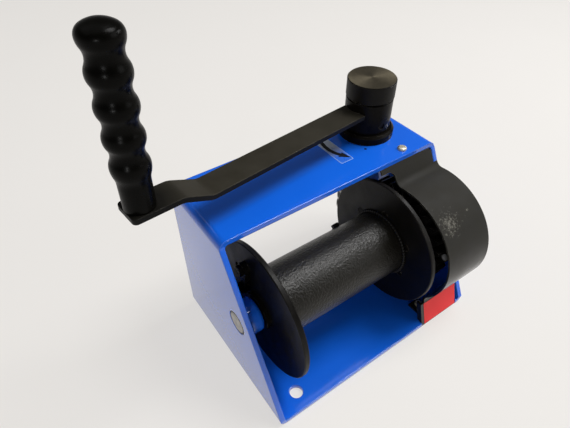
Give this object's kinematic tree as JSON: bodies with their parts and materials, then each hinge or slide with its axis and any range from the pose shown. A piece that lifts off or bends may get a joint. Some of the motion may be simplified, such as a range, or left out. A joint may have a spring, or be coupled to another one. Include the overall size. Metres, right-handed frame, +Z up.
{
  "type": "hand winch",
  "caption": "Worm-gear hand winch: bent-plate frame, flanged rope drum on a fixed axle, guarded worm wheel, and a vertical worm shaft turned from above by a flat crank with a loose grip.",
  "frame": {"origin": "centre of the four base holes, on the underside of the base", "axes": "+Z up along the worm shaft, +X along the drum axle towards the gear side, +Y to the rear, away from the slanted front"},
  "size_m": [0.3065, 0.1817, 0.3471],
  "materials": {
    "blue_paint": "gloss",
    "black_paint": "satin",
    "black_oxide": "satin",
    "bare_steel": "machined",
    "zinc_steel": "zinc plated",
    "wheel_iron": "machined",
    "bronze": "machined",
    "black_plastic": "semi-gloss"
  },
  "bodies": {
    "frame": {"frame": "blue_paint", "axle_boss_left": "blue_paint", "axle_boss_right": "blue_paint", "drum_axle": "bare_steel", "bearing_housing": "black_oxide", "worm_top_bush": "bronze", "foot_bearing": "black_oxide", "worm_foot_bush": "bronze", "thrust_washer_top": "bronze", "thrust_washer_foot": "bronze", "gear_guard": "black_paint", "guard_screws": "zinc_steel"},
    "drum": {"drum_barrel": "black_paint", "drum_flange_left": "black_paint", "drum_flange_right": "black_paint", "drum_bush_left": "black_oxide", "drum_bush_right": "black_oxide", "rope_clamp": "black_oxide", "rope_clamp_bolts": "black_oxide", "rope_set_screw": "black_paint", "worm_wheel": "wheel_iron", "wheel_bolts": "black_oxide"},
    "crank": {"worm_shaft": "bare_steel", "crank_sleeve": "black_oxide", "hub_pin": "bare_steel", "hub_cap": "black_oxide", "crank_arm": "black_paint", "grip_spindle": "bare_steel", "grip_ring": "bare_steel"},
    "grip": {"grip": "black_plastic"}
  },
  "joints": [
    {"name": "drum_spin", "type": "hinge", "parent": "frame", "child": "drum", "pos_m": [0, -0.0195, 0.086], "axis": [1, 0, 0], "continuous": true},
    {"name": "crank_spin", "type": "hinge", "parent": "frame", "child": "crank", "pos_m": [0.0797, 0.0525, 0.196], "axis": [0, 0, 1], "continuous": true},
    {"name": "grip_spin", "type": "hinge", "parent": "crank", "child": "grip", "pos_m": [-0.16824, 0.02557, 0.2157], "axis": [0.0382, 0.0041, 0.9993], "continuous": true}
  ],
  "couplings": [
    {"joint": "crank_spin", "follows": "drum_spin", "ratio": -27}
  ]
}
